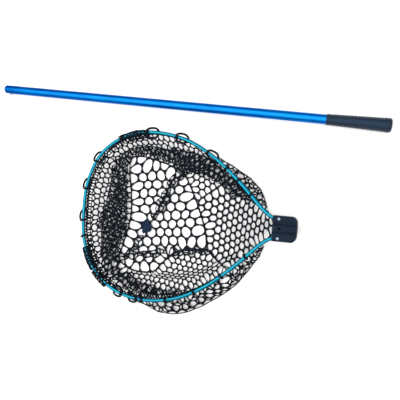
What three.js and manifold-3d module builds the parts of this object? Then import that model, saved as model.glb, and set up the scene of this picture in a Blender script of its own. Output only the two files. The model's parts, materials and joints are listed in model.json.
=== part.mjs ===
// A landing net laid out on the ground: the hoop, yoke and collapsed rubber bag, and beside them
// the handle, taken out of its socket. Millimetres, +Z up, +X from the hoop's nose to its yoke.
import * as THREE from "three";
import { mergeVertices } from "three/addons/utils/BufferGeometryUtils.js";
import Module from "manifold-3d";

// ---- driving dimensions -------------------------------------------------------------------
const HOOP_HEIGHT = 45; // centre line of the hoop above the ground
const HOOP_RADIUS = 4.5; // 9 mm aluminium tube
const HOOP_BORE = 3.3;
const LEG_OFFSET = 22.5; // the hoop's two legs lie this far either side of the socket
// Half of the hoop's centre line, from the nose round to the end of one leg.
const HOOP_HALF = [
  [-245, 0],
  [-238, 77],
  [-205, 149],
  [-146, 194],
  [-72, 210],
  [19, 196],
  [96, 156],
  [163, 100],
  [226, 38],
  [246, 25],
  [262, LEG_OFFSET],
  [293, LEG_OFFSET],
];

const YOKE_FRONT = 249; // face where the legs enter
const YOKE_REAR = 304.5; // face with the socket's mouth
const YOKE_WIDTH = 60;
const YOKE_CORNER = 14; // rounding of the two rear corners
const YOKE_SPLIT = 0.3; // gap between the two halves
const LOBE_RADIUS = 15.2; // middle lobe, over the socket
const WING_HEIGHT = 12.4; // side lobes, over the legs
const SOCKET_RADIUS = 11.6;
const BUSH_LENGTH = 8;
const BUSH_RADIUS = 13;
const BUSH_BORE = 11.35;
const BUTTON_HOLE_X = 265;
const BUTTON_HOLE_RADIUS = 3.8;
const SCREW_X = 263;

const TUBE_RADIUS = 11; // 22 mm aluminium handle
const TUBE_BORE = 9.8;
const HANDLE_LENGTH = 1030;
const GRIP_LENGTH = 142;
const GRIP_START_RADIUS = 12.8;
const GRIP_END_RADIUS = 16.5;
const GRIP_RINGS = 17;
const GRIP_RING_PITCH = 7;
const BUTTON_FROM_TIP = 18;
const BUTTON_RADIUS = 3;
const BUTTON_PROUD = 3.5;
const TIP_PLACE = [-537, 320]; // where the tip of the handle lies
const HANDLE_YAW = -4; // degrees between the laid handle and the hoop's axis

const BAG_TOP = 34; // the net hangs from here, just under the hoop
const BAG_WALL = 2;
const GAP = 0.3;
// Where the slack net meets the ground, anticlockwise from the yoke.
const BAG_FOOT = [
  [236, 0],
  [228, 58],
  [204, 94],
  [160, 130],
  [100, 160],
  [20, 186],
  [-72, 200],
  [-150, 182],
  [-206, 136],
  [-230, 70],
  [-234, 0],
  [-229, -75],
  [-202, -146],
  [-150, -196],
  [-80, -224],
  [-20, -240],
  [20, -244],
  [62, -221],
  [105, -191],
  [152, -157],
  [202, -98],
  [232, -46],
];

const STRAND_RADIUS = 1.5;
// Places of the net's loops along the hoop, as a share of its length, and how each one sits.
const TIGHT_LOOPS = [
  0.083, 0.135, 0.189, 0.242, 0.285, 0.375, 0.42, 0.455, 0.655, 0.685, 0.86, 0.888, 0.918,
];
const SLACK_LOOPS = [0.305, 0.335, 0.493, 0.549, 0.603, 0.715, 0.77, 0.83];

// ---- helpers ------------------------------------------------------------------------------
const wasm = await Module();
wasm.setup();

function toSolid(geometry) {
  const bare = new THREE.BufferGeometry().setAttribute(
    "position",
    (geometry.index ? geometry.toNonIndexed() : geometry).getAttribute("position"),
  );
  const merged = mergeVertices(bare, 1e-3);
  return new wasm.Manifold(
    new wasm.Mesh({
      numProp: 3,
      vertProperties: merged.attributes.position.array,
      triVerts: new Uint32Array(merged.index.array),
    }),
  );
}

function toGeometry(solid) {
  const mesh = solid.getMesh();
  return new THREE.BufferGeometry()
    .setAttribute("position", new THREE.BufferAttribute(mesh.vertProperties, 3))
    .setIndex(new THREE.BufferAttribute(mesh.triVerts, 1));
}

function cut(geometry, ...tools) {
  const solid = tools.reduce((left, tool) => left.subtract(toSolid(tool)), toSolid(geometry));
  return toGeometry(solid);
}

function circleShape(radius, sides, boreRadius) {
  const ring = (r) =>
    Array.from({ length: sides }, (_, i) => {
      const angle = (2 * Math.PI * i) / sides;
      return new THREE.Vector2(r * Math.cos(angle), r * Math.sin(angle));
    });
  const shape = new THREE.Shape(ring(radius));
  if (boreRadius) shape.holes.push(new THREE.Path(ring(boreRadius)));
  return shape;
}

// A round section swept along a curve.
function sweep(curve, radius, sides, steps, boreRadius) {
  return new THREE.ExtrudeGeometry(circleShape(radius, sides, boreRadius), {
    steps,
    extrudePath: curve,
    bevelEnabled: false,
  });
}

// A rod between two points on one straight line.
function rod(from, to, radius, sides) {
  const length = from.distanceTo(to);
  const turn = new THREE.Quaternion().setFromUnitVectors(
    new THREE.Vector3(0, 1, 0),
    to.clone().sub(from).normalize(),
  );
  return new THREE.CylinderGeometry(radius, radius, length, sides)
    .applyQuaternion(turn)
    .translate(...from.clone().lerp(to, 0.5).toArray());
}

const rodAlongX = (x0, x1, z, radius, sides) =>
  rod(new THREE.Vector3(x0, 0, z), new THREE.Vector3(x1, 0, z), radius, sides);

const rodAlongZ = (x, y, z0, z1, radius, sides) =>
  rod(new THREE.Vector3(x, y, z0), new THREE.Vector3(x, y, z1), radius, sides);

// A solid of revolution about X from a profile of [x, radius] pairs.
function turned(profile, sides) {
  const points = profile.map(([x, radius]) => new THREE.Vector2(radius, x));
  return new THREE.LatheGeometry(points, sides).rotateZ(-Math.PI / 2);
}

// ---- materials ----------------------------------------------------------------------------
const finish = (color, roughness, metalness) =>
  new THREE.MeshStandardMaterial({ color, roughness, metalness });
const tealAnodised = finish(0x18b4cf, 0.32, 0.9);
const blueAnodised = finish(0x0a6fd0, 0.3, 0.9);
const yokeNylon = finish(0x1a2230, 0.5, 0);
const paleNylon = finish(0xd8d8d0, 0.5, 0);
const steel = finish(0xd5d8dc, 0.25, 1);
const netRubber = finish(0x14161a, 0.6, 0);
const gripRubber = finish(0x20262e, 0.75, 0);
const foam = finish(0x8c8f92, 0.9, 0);

const model = new THREE.Group();

function add(group, name, geometry, material) {
  const mesh = new THREE.Mesh(geometry, material);
  mesh.name = name;
  group.add(mesh);
  return mesh;
}

// ---- hoop ---------------------------------------------------------------------------------
const head = new THREE.Group();
model.add(head);

const mirrored = HOOP_HALF.slice(1).map(([x, y]) => [x, -y]);
const hoopPoints = [...mirrored.reverse(), ...HOOP_HALF];
const hoopCurve = new THREE.CatmullRomCurve3(
  hoopPoints.map(([x, y]) => new THREE.Vector3(x, y, HOOP_HEIGHT)),
);
hoopCurve.arcLengthDivisions = 800;

const screwPlaces = [
  ["right", LEG_OFFSET],
  ["left", -LEG_OFFSET],
];
const screwHoles = screwPlaces.map(([, y]) =>
  rodAlongZ(SCREW_X, y, 0, 2 * HOOP_HEIGHT, 2.4, 16),
);
add(
  head,
  "hoop_tube",
  cut(sweep(hoopCurve, HOOP_RADIUS, 10, 66, HOOP_BORE), ...screwHoles),
  tealAnodised,
);

// ---- yoke: two moulded halves round the legs and the socket -------------------------------
// Half of the section across the yoke: a lobe over the socket between two lower wings.
function yokeSection(side) {
  const half = YOKE_WIDTH / 2;
  const meet = 9.8; // where lobe and wing meet, in a groove
  const lobe = Math.acos(meet / LOBE_RADIUS);
  const shape = new THREE.Shape();
  shape.moveTo(half, 0);
  shape.lineTo(half, WING_HEIGHT - 5);
  shape.absarc(half - 4, WING_HEIGHT - 5, 4, 0, Math.PI / 2);
  shape.quadraticCurveTo(half - 10, WING_HEIGHT + 0.6, meet + 1.2, WING_HEIGHT - 2.4);
  shape.absarc(0, 0, LOBE_RADIUS, lobe, Math.PI - lobe);
  shape.lineTo(-meet - 1.2, WING_HEIGHT - 2.4);
  shape.quadraticCurveTo(-half + 10, WING_HEIGHT + 0.6, -half + 4, WING_HEIGHT - 1);
  shape.absarc(-half + 4, WING_HEIGHT - 5, 4, Math.PI / 2, Math.PI);
  shape.lineTo(-half, 0);
  return new THREE.ExtrudeGeometry(shape, {
    depth: YOKE_REAR - YOKE_FRONT,
    bevelEnabled: false,
    curveSegments: 10,
  })
    .rotateX(Math.PI / 2)
    .rotateZ(Math.PI / 2)
    .translate(YOKE_FRONT, 0, YOKE_SPLIT / 2)
    .rotateX(side === "lower" ? Math.PI : 0)
    .translate(0, 0, HOOP_HEIGHT);
}

// The yoke's outline from above: square at the hoop, rounded at the rear.
function yokeOutline() {
  const half = YOKE_WIDTH / 2;
  const shape = new THREE.Shape();
  shape.moveTo(YOKE_FRONT - 1, -half - 1);
  shape.lineTo(YOKE_REAR - YOKE_CORNER, -half);
  shape.absarc(YOKE_REAR - YOKE_CORNER, -half + YOKE_CORNER, YOKE_CORNER, -Math.PI / 2, 0);
  shape.absarc(YOKE_REAR - YOKE_CORNER, half - YOKE_CORNER, YOKE_CORNER, 0, Math.PI / 2);
  shape.lineTo(YOKE_FRONT - 1, half + 1);
  return new THREE.ExtrudeGeometry(shape, {
    depth: 2 * HOOP_HEIGHT,
    bevelEnabled: false,
    curveSegments: 8,
  });
}

const legGroove = sweep(hoopCurve, HOOP_RADIUS + 0.5, 12, 66);
const socketTools = [
  rodAlongX(YOKE_FRONT - 1, YOKE_REAR + 1, HOOP_HEIGHT, SOCKET_RADIUS, 32),
  rodAlongX(YOKE_REAR - BUSH_LENGTH - GAP, YOKE_REAR + 1, HOOP_HEIGHT, BUSH_RADIUS + 0.4, 32),
];
const top = HOOP_HEIGHT + WING_HEIGHT;
const bottom = HOOP_HEIGHT - WING_HEIGHT;
const headPockets = screwPlaces.map(([, y]) =>
  rodAlongZ(SCREW_X, y, top - 0.8, top + 5, 4.4, 20),
);
const nutPockets = screwPlaces.map(([, y]) => rodAlongZ(SCREW_X, y, 0, bottom + 3.4, 4.5, 6));
const buttonHole = rodAlongZ(
  BUTTON_HOLE_X,
  0,
  HOOP_HEIGHT + 5,
  HOOP_HEIGHT + 30,
  BUTTON_HOLE_RADIUS,
  20,
);

function yokeHalf(side, ...tools) {
  const trimmed = toGeometry(toSolid(yokeSection(side)).intersect(toSolid(yokeOutline())));
  return cut(trimmed, legGroove, ...socketTools, ...screwHoles, ...tools);
}
add(head, "yoke_upper", yokeHalf("upper", ...headPockets, buttonHole), yokeNylon);
add(head, "yoke_lower", yokeHalf("lower", ...nutPockets), yokeNylon);

// The bush in the socket's mouth turns with the handle when the button is lined up.
const bush = cut(
  rodAlongX(YOKE_REAR - BUSH_LENGTH, YOKE_REAR - 0.5, HOOP_HEIGHT, BUSH_RADIUS, 32),
  rodAlongX(YOKE_REAR - 20, YOKE_REAR + 5, HOOP_HEIGHT, BUSH_BORE, 32),
);
add(model, "socket_bush", bush, paleNylon);

// ---- yoke screws and nuts -----------------------------------------------------------------
function panScrew(y) {
  const headBase = top - 0.5;
  const profile = [
    [0, bottom + 0.4],
    [2, bottom + 0.4],
    [2, headBase],
    [3.9, headBase],
    [3.9, headBase + 1.1],
    [2.7, headBase + 2.3],
    [0, headBase + 2.6],
  ].map(([r, z]) => new THREE.Vector2(r, z));
  const slot = new THREE.BoxGeometry(5, 0.9, 2).translate(0, 0, headBase + 2.6);
  const body = new THREE.LatheGeometry(profile, 20).rotateX(Math.PI / 2);
  return cut(body, slot, slot.clone().rotateZ(Math.PI / 2)).translate(SCREW_X, y, 0);
}

function hexNut(y) {
  const body = rodAlongZ(SCREW_X, y, bottom + 0.1, bottom + 3.1, 4.04, 6);
  return cut(body, rodAlongZ(SCREW_X, y, bottom - 2, bottom + 8, 2.35, 16));
}

for (const [side, y] of screwPlaces) {
  add(head, `yoke_screw_${side}`, panScrew(y), steel);
  add(head, `yoke_nut_${side}`, hexNut(y), steel);
}

// ---- bag: four wall panels, a floor, and the seams between them ---------------------------
const BAG_CENTRE = [-10, 0];
const rimPoints = [
  ...HOOP_HALF.slice(0, 9),
  [238, 0],
  ...HOOP_HALF.slice(1, 9)
    .map(([x, y]) => [x, -y])
    .reverse(),
];

// Points of a closed outline, looked up by the direction from the bag's centre.
function outlineByAngle(points) {
  const curve = new THREE.CatmullRomCurve3(
    points.map(([x, y]) => new THREE.Vector3(x - BAG_CENTRE[0], y - BAG_CENTRE[1], 0)),
    true,
  );
  const samples = curve
    .getPoints(720)
    .map((p) => ({ angle: Math.atan2(p.y, p.x), radius: Math.hypot(p.x, p.y) }))
    .sort((a, b) => a.angle - b.angle);
  return (angle) => {
    const wrapped = Math.atan2(Math.sin(angle), Math.cos(angle));
    const next = samples.findIndex((s) => s.angle >= wrapped);
    if (next <= 0) return samples[0].radius;
    const [a, b] = [samples[next - 1], samples[next]];
    const share = (wrapped - a.angle) / (b.angle - a.angle || 1);
    return a.radius + (b.radius - a.radius) * share;
  };
}
const rimRadius = outlineByAngle(rimPoints);
const footRadius = outlineByAngle(BAG_FOOT);

// A point of the wall: height share 0 at the rim, 1 at the foot, moved in by inset.
function wallPoint(angle, share, inset) {
  const z = BAG_TOP + (1 - BAG_TOP) * share;
  const bulge = 6 * Math.sin(Math.PI * share);
  const r = THREE.MathUtils.lerp(rimRadius(angle), footRadius(angle), share) + bulge - inset;
  return [BAG_CENTRE[0] + r * Math.cos(angle), BAG_CENTRE[1] + r * Math.sin(angle), z];
}

// A closed solid over a grid of columns and rows, between an outer and an inner skin.
function shellSolid(columns, rows, pointAt) {
  const positions = [];
  const skins = [false, true].map((inner) =>
    Array.from({ length: columns + 1 }, (_, i) =>
      Array.from({ length: rows + 1 }, (_, j) => pointAt(i / columns, j / rows, inner)),
    ),
  );
  const quad = (a, b, c, d) => positions.push(...a, ...b, ...c, ...a, ...c, ...d);
  const [outer, inner] = skins;
  for (let i = 0; i < columns; i++)
    for (let j = 0; j < rows; j++) {
      quad(outer[i][j], outer[i][j + 1], outer[i + 1][j + 1], outer[i + 1][j]);
      quad(inner[i][j], inner[i + 1][j], inner[i + 1][j + 1], inner[i][j + 1]);
    }
  for (let i = 0; i < columns; i++) {
    quad(outer[i][0], outer[i + 1][0], inner[i + 1][0], inner[i][0]);
    quad(outer[i][rows], inner[i][rows], inner[i + 1][rows], outer[i + 1][rows]);
  }
  for (let j = 0; j < rows; j++) {
    quad(outer[0][j], inner[0][j], inner[0][j + 1], outer[0][j + 1]);
    quad(outer[columns][j], outer[columns][j + 1], inner[columns][j + 1], inner[columns][j]);
  }
  return new THREE.BufferGeometry().setAttribute(
    "position",
    new THREE.Float32BufferAttribute(positions, 3),
  );
}

const SEAM_HALF_GAP = 0.014; // radians of wall left open for the seam cord at each panel's edge
const panels = [
  ["bag_wall_yoke", -38, 38],
  ["bag_wall_right", 38, 142],
  ["bag_wall_nose", 142, 218],
  ["bag_wall_left", 218, 322],
];
for (const [name, from, to] of panels) {
  const start = THREE.MathUtils.degToRad(from) + SEAM_HALF_GAP;
  const end = THREE.MathUtils.degToRad(to) - SEAM_HALF_GAP;
  const columns = Math.round((to - from) / 6);
  const panel = shellSolid(columns, 3, (u, v, inner) =>
    wallPoint(start + (end - start) * u, v, inner ? BAG_WALL : 0),
  );
  add(head, name, panel, netRubber);
  const seamPath = new THREE.CatmullRomCurve3(
    [0.04, 0.5, 0.93].map(
      (share) =>
        new THREE.Vector3(...wallPoint(THREE.MathUtils.degToRad(from), share, BAG_WALL / 2)),
    ),
  );
  add(head, name.replace("wall", "seam"), sweep(seamPath, STRAND_RADIUS, 8, 5), netRubber);
}

// The floor lies inside the foot of the wall, a thin sheet on the ground.
const FLOOR_THICK = 1.6;
const floorShape = new THREE.Shape(
  Array.from({ length: 44 }, (_, i) => {
    const angle = (2 * Math.PI * i) / 44;
    const r = footRadius(angle) - BAG_WALL - 5;
    return new THREE.Vector2(
      BAG_CENTRE[0] + r * Math.cos(angle),
      BAG_CENTRE[1] + r * Math.sin(angle),
    );
  }),
);
const floorSheet = new THREE.ExtrudeGeometry(floorShape, {
  depth: FLOOR_THICK,
  bevelEnabled: false,
});
add(head, "bag_floor", floorSheet, netRubber);

// Welted seams that lie across the floor, and the tie where they gather.
const seamHeight = FLOOR_THICK + STRAND_RADIUS + GAP;
const floorSeams = {
  floor_seam_yoke: [[-22, 131], [8, 113], [37, 69], [69, 8], [82, -36]],
  floor_seam_left: [[86, -75], [22, -80], [-42, -125]],
  floor_seam_gather: [[4, 104], [-35, 43], [-62, -7]],
};
for (const [name, points] of Object.entries(floorSeams)) {
  const path = new THREE.CatmullRomCurve3(
    points.map(([x, y]) => new THREE.Vector3(x, y, seamHeight)),
  );
  add(head, name, sweep(path, STRAND_RADIUS, 8, 4 * (points.length - 1)), netRubber);
}
const tie = new THREE.SphereGeometry(1, 12, 8).scale(15, 18.5, 6);
add(head, "bag_tie", tie.translate(-81, -28, FLOOR_THICK + GAP + 6), netRubber);

// ---- net loops round the hoop -------------------------------------------------------------
// Local axes at a place on the hoop: along the tube, outwards, and up.
function hoopFrame(share) {
  const along = hoopCurve.getTangentAt(share);
  const out = new THREE.Vector3(along.y, -along.x, 0);
  const centre = hoopCurve.getPointAt(share);
  return (t, o, z) =>
    centre.clone().addScaledVector(along, t).addScaledVector(out, -o).add(new THREE.Vector3(0, 0, z));
}

function closedStrand(points, steps) {
  return sweepClosed(new THREE.CatmullRomCurve3(points, true), steps);
}

// A ring-shaped strand whose two ends meet.
function sweepClosed(curve, steps) {
  const sides = 5;
  const frames = curve.computeFrenetFrames(steps, true);
  const rings = Array.from({ length: steps }, (_, i) => {
    const centre = curve.getPointAt(i / steps);
    return Array.from({ length: sides }, (_, k) => {
      const angle = (2 * Math.PI * k) / sides;
      return centre
        .clone()
        .addScaledVector(frames.normals[i], STRAND_RADIUS * Math.cos(angle))
        .addScaledVector(frames.binormals[i], STRAND_RADIUS * Math.sin(angle))
        .toArray();
    });
  });
  const positions = [];
  for (let i = 0; i < steps; i++)
    for (let k = 0; k < sides; k++) {
      const [a, b] = [rings[i], rings[(i + 1) % steps]];
      const next = (k + 1) % sides;
      positions.push(...a[k], ...a[next], ...b[next], ...a[k], ...b[next], ...b[k]);
    }
  return new THREE.BufferGeometry().setAttribute(
    "position",
    new THREE.Float32BufferAttribute(positions, 3),
  );
}

function tightLoop(share) {
  const at = hoopFrame(share);
  const r = HOOP_RADIUS + STRAND_RADIUS + 0.6;
  const points = Array.from({ length: 8 }, (_, i) => {
    const angle = (2 * Math.PI * i) / 8;
    return at(0, r * Math.cos(angle), r * Math.sin(angle));
  });
  return closedStrand(points, 10);
}

// A slack loop crosses over the tube at one end, runs along outside it and returns beneath.
function slackLoop(share) {
  const at = hoopFrame(share);
  const over = HOOP_RADIUS + STRAND_RADIUS + 3.2;
  const points = [
    at(-15, -6, 3),
    at(-14, 0, over),
    at(-11, 8, 3),
    at(-6, 11, 0),
    at(6, 11, 0),
    at(11, 8, -3),
    at(14, 0, -over),
    at(7, -10, -4.5),
    at(-7, -10, 0),
  ];
  return closedStrand(points, 18);
}

const loops = [
  ...TIGHT_LOOPS.map((share) => [share, tightLoop]),
  ...SLACK_LOOPS.map((share) => [share, slackLoop]),
].sort((a, b) => a[0] - b[0]);
loops.forEach(([share, make], i) => {
  add(head, `net_loop_${String(i + 1).padStart(2, "0")}`, make(share), netRubber);
});

// ---- handle, in its own frame: tip at x = 0, butt at +X, button towards -Y ----------------
const handle = new THREE.Group();
const pitch = Math.atan2(GRIP_END_RADIUS - TUBE_RADIUS, HANDLE_LENGTH - 20);
handle.position.set(...TIP_PLACE, TUBE_RADIUS + 0.1);
handle.rotation.set(0, -pitch, THREE.MathUtils.degToRad(HANDLE_YAW), "ZYX");
model.add(handle);

const tubeEnd = HANDLE_LENGTH - 8;
const tube = turned(
  [
    [1.2, 6.5],
    [0.3, 7.3],
    [0.6, 9.1],
    [1.9, 10.5],
    [3.8, TUBE_RADIUS],
    [tubeEnd, TUBE_RADIUS],
    [tubeEnd, TUBE_BORE],
    [3.8, TUBE_BORE],
    [2.2, 8.6],
    [1.2, 6.5],
  ],
  32,
);
const buttonBore = rod(
  new THREE.Vector3(BUTTON_FROM_TIP, -5, 0),
  new THREE.Vector3(BUTTON_FROM_TIP, -20, 0),
  BUTTON_RADIUS + 0.4,
  16,
);
add(handle, "handle_tube", cut(tube, buttonBore), blueAnodised);

// Snap button, a domed steel stud on the free arm of a bent spring.
const buttonRoot = 8.5;
const buttonTop = TUBE_RADIUS + BUTTON_PROUD;
const buttonProfile = [
  [0, buttonRoot],
  [BUTTON_RADIUS, buttonRoot],
  [BUTTON_RADIUS, buttonTop - 1.6],
  [BUTTON_RADIUS * 0.72, buttonTop - 0.5],
  [0, buttonTop],
].map(([r, y]) => new THREE.Vector2(r, y));
const button = new THREE.LatheGeometry(buttonProfile, 16)
  .rotateX(Math.PI)
  .translate(BUTTON_FROM_TIP, 0, 0);
add(handle, "snap_button", button, steel);

const springShape = new THREE.Shape();
springShape.moveTo(10, -8.2);
springShape.lineTo(54, -3.2);
springShape.absarc(54, 0, 3.2, -Math.PI / 2, Math.PI / 2);
springShape.lineTo(10, 8.6);
springShape.lineTo(10, 7.8);
springShape.lineTo(54, 2.4);
springShape.absarc(54, 0, 2.4, Math.PI / 2, -Math.PI / 2, true);
springShape.lineTo(10, -7.4);
const spring = new THREE.ExtrudeGeometry(springShape, {
  depth: 7,
  bevelEnabled: false,
  curveSegments: 8,
}).translate(0, 0, -3.5);
add(handle, "button_spring", spring, steel);

// Foam bungs that keep the handle afloat.
const BUNG_PLACE = 500;
const floatFront = rod(
  new THREE.Vector3(BUNG_PLACE - 8, 0, 0),
  new THREE.Vector3(BUNG_PLACE + 8, 0, 0),
  8,
  20,
);
add(handle, "float_bung_front", floatFront, foam);
const floatRear = rod(
  new THREE.Vector3(BUNG_PLACE + 40, 0, 0),
  new THREE.Vector3(BUNG_PLACE + 180, 0, 0),
  9.3,
  20,
);
add(handle, "float_bung_rear", floatRear, foam);

// Rubber grip: a plain collar, then rings that grow towards a rounded butt.
const gripStart = HANDLE_LENGTH - GRIP_LENGTH;
const gripBore = TUBE_RADIUS + 0.3;
const gripRadius = (x) =>
  THREE.MathUtils.mapLinear(x, gripStart, HANDLE_LENGTH, GRIP_START_RADIUS, GRIP_END_RADIUS);
const gripProfile = [
  [gripStart, gripBore],
  [gripStart, gripRadius(gripStart) - 0.6],
  [gripStart + 1, gripRadius(gripStart)],
  [gripStart + 10, gripRadius(gripStart + 10)],
];
for (let i = 0; i < GRIP_RINGS; i++) {
  const x = gripStart + 11.5 + i * GRIP_RING_PITCH;
  gripProfile.push([x, gripRadius(x) - 1.1]);
  gripProfile.push([x + 2, gripRadius(x + 2)]);
}
gripProfile.push(
  [HANDLE_LENGTH - 8, GRIP_END_RADIUS - 0.3],
  [HANDLE_LENGTH - 3, GRIP_END_RADIUS - 1.8],
  [HANDLE_LENGTH - 0.6, GRIP_END_RADIUS - 5],
  [HANDLE_LENGTH, GRIP_END_RADIUS - 8],
  [HANDLE_LENGTH, 0],
  [tubeEnd + 0.5, 0],
  [tubeEnd + 0.5, gripBore],
  [gripStart, gripBore],
);
add(handle, "handle_grip", turned(gripProfile, 20), gripRubber);

// ---- origin at the middle of the ground the net covers ------------------------------------
model.updateMatrixWorld(true);
const box = new THREE.Box3().setFromObject(model, true);
const centre = box.getCenter(new THREE.Vector3());
model.position.set(-centre.x, -centre.y, -box.min.z);

export default model;
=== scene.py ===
import json
from functools import partial
from math import atan2, ceil, cos, degrees, pi, radians, sin, sqrt

import bmesh
import bpy
import numpy as np
from mathutils import Matrix, Vector

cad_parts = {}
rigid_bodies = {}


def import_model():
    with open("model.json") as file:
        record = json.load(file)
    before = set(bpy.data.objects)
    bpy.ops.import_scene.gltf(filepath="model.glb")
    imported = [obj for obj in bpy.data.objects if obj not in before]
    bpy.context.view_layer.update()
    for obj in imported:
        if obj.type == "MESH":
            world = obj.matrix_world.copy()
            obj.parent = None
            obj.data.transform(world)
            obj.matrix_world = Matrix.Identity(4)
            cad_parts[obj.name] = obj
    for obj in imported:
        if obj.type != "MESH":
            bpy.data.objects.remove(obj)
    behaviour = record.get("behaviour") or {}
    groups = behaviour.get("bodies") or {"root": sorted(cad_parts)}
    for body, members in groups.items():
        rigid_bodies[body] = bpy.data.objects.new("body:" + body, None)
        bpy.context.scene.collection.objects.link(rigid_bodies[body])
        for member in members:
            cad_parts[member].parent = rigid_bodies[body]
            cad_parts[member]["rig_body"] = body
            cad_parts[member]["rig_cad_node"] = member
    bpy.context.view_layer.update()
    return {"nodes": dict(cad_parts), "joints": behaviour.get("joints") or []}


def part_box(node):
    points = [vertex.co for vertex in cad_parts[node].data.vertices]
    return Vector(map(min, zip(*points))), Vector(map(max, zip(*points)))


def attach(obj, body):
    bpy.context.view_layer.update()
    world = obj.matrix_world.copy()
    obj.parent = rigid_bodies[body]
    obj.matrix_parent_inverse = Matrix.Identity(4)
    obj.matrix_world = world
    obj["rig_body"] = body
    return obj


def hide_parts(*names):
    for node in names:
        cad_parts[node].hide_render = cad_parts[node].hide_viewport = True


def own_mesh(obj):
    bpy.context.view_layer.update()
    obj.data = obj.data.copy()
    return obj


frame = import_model()
mm = 0.001


# Places on the head are given from the middle of the hoop, on the ground, in millimetres.
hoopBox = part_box("hoop_tube")
hoopLegEnd = 293
headOrigin = np.array([hoopBox[1].x - hoopLegEnd * mm, (hoopBox[0].y + hoopBox[1].y) / 2, 0])
hoopHeight = (hoopBox[0].z + hoopBox[1].z) / 2 / mm


def onHead(points):
    return np.asarray(points, float) * mm + headOrigin


# camera, floor and light
studio = {
    "cameraPlace": (403.4, 81.7, 1156.8),
    "cameraTurn": (-0.27, 16.82, 4.28),
    "lensPerWidth": 1.2,
    "floorSize": 8,
    "floorColour": "#f4f4f3",
    "floorGlow": 0.1,
    "worldStrength": 0.42,
    "keyPower": 120,
    "keyPlace": (-0.5, 0.1, 2.1),
    "keySize": (4.2, 3.6),
}


def linear(hexColour):
    parts = [int(hexColour[i:i + 2], 16) / 255 for i in (1, 3, 5)]
    return tuple(c / 12.92 if c <= 0.04045 else ((c + 0.055) / 1.055) ** 2.4 for c in parts) + (1,)


def deselectAll():
    bpy.ops.object.select_all(action="DESELECT")


def node(tree, kind, values, output=0):
    # Adds a node, sets or links its inputs and returns one of its outputs.
    made = tree.nodes.new(kind)
    for socket, value in values.items():
        if isinstance(value, bpy.types.NodeSocket):
            tree.links.new(value, made.inputs[socket])
        else:
            made.inputs[socket].default_value = value
    return made.outputs[output] if made.outputs else None


def newMaterial(name, build):
    material = bpy.data.materials.new(name)
    material.use_nodes = True
    material.node_tree.nodes.clear()
    add = partial(node, material.node_tree)
    add("ShaderNodeOutputMaterial", {"Surface": build(add)})
    return material


def makeStudio():
    deselectAll()
    bpy.ops.object.camera_add(location=onHead(studio["cameraPlace"]))
    camera = bpy.context.object
    camera.rotation_euler = [radians(a) for a in studio["cameraTurn"]]
    camera.data.sensor_width = 36
    camera.data.lens = 36 * studio["lensPerWidth"]
    camera.data.clip_start = 0.05
    bpy.context.scene.camera = camera
    bpy.ops.object.light_add(type="AREA", location=studio["keyPlace"])
    light = bpy.context.object
    light.name = "keyLight"
    light.data.energy = studio["keyPower"]
    light.data.shape = "RECTANGLE"
    light.data.size, light.data.size_y = studio["keySize"]
    world = bpy.data.worlds.new("studioWorld")
    world.use_nodes = True
    background = world.node_tree.nodes["Background"]
    background.inputs["Color"].default_value = (1, 1, 1, 1)
    background.inputs["Strength"].default_value = studio["worldStrength"]
    bpy.context.scene.world = world
    bpy.context.scene.view_settings.view_transform = "Standard"
    bpy.ops.mesh.primitive_plane_add(size=studio["floorSize"])
    floor = bpy.context.object
    floor.name = "studioFloor"
    paper = newMaterial("matt_paper", lambda add: add("ShaderNodeBsdfPrincipled", {
        "Base Color": linear(studio["floorColour"]), "Roughness": 0.9,
        "Emission Color": (1, 1, 1, 1), "Emission Strength": studio["floorGlow"]}))
    floor.data.materials.append(paper)


makeStudio()
print("studio ready")


# Each finish adds its nodes to a new material. A real grain is about 0.1 mm, too fine to show
# from here, so it is drawn several times as coarse.
def anodised(add, colour, deepColour, edgeColour, alongX=1, turn=0):
    # Drawn aluminium, etched, dyed and sealed: the dye tints the metal's own reflection, the
    # etch leaves a fine grain, drawing leaves faint streaks along the length, and light that
    # skims the surface crosses more dye, so the edges look deeper.
    place = add("ShaderNodeTexCoord", {}, "Object")
    stretched = add("ShaderNodeMapping", {
        "Vector": place, "Rotation": (0, 0, radians(turn)), "Scale": (alongX, 1, 1)})
    streaks = add("ShaderNodeTexNoise", {"Vector": stretched, "Scale": 1 / (1.2 * mm), "Detail": 3})
    cloud = add("ShaderNodeTexNoise", {"Vector": place, "Scale": 1 / (60 * mm), "Detail": 2})
    grain = add("ShaderNodeTexNoise", {"Vector": place, "Scale": 1 / (0.7 * mm), "Detail": 2})
    share = add("ShaderNodeMapRange", {"Value": cloud, "From Min": 0.3, "From Max": 0.7})
    blend = add("ShaderNodeMixRGB", {
        "Fac": share, "Color1": linear(colour), "Color2": linear(deepColour)})
    rough = add("ShaderNodeMapRange", {
        "Value": streaks, "From Min": 0.3, "From Max": 0.7, "To Min": 0.26, "To Max": 0.38})
    bump = add("ShaderNodeBump", {"Height": grain, "Strength": 0.12, "Distance": 0.05 * mm})
    streakBump = add("ShaderNodeBump", {
        "Height": streaks, "Strength": 0.1, "Distance": 0.05 * mm, "Normal": bump})
    return add("ShaderNodeBsdfPrincipled", {
        "Base Color": blend, "Metallic": 1, "Roughness": rough,
        "Specular Tint": linear(edgeColour), "Normal": streakBump})


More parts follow.
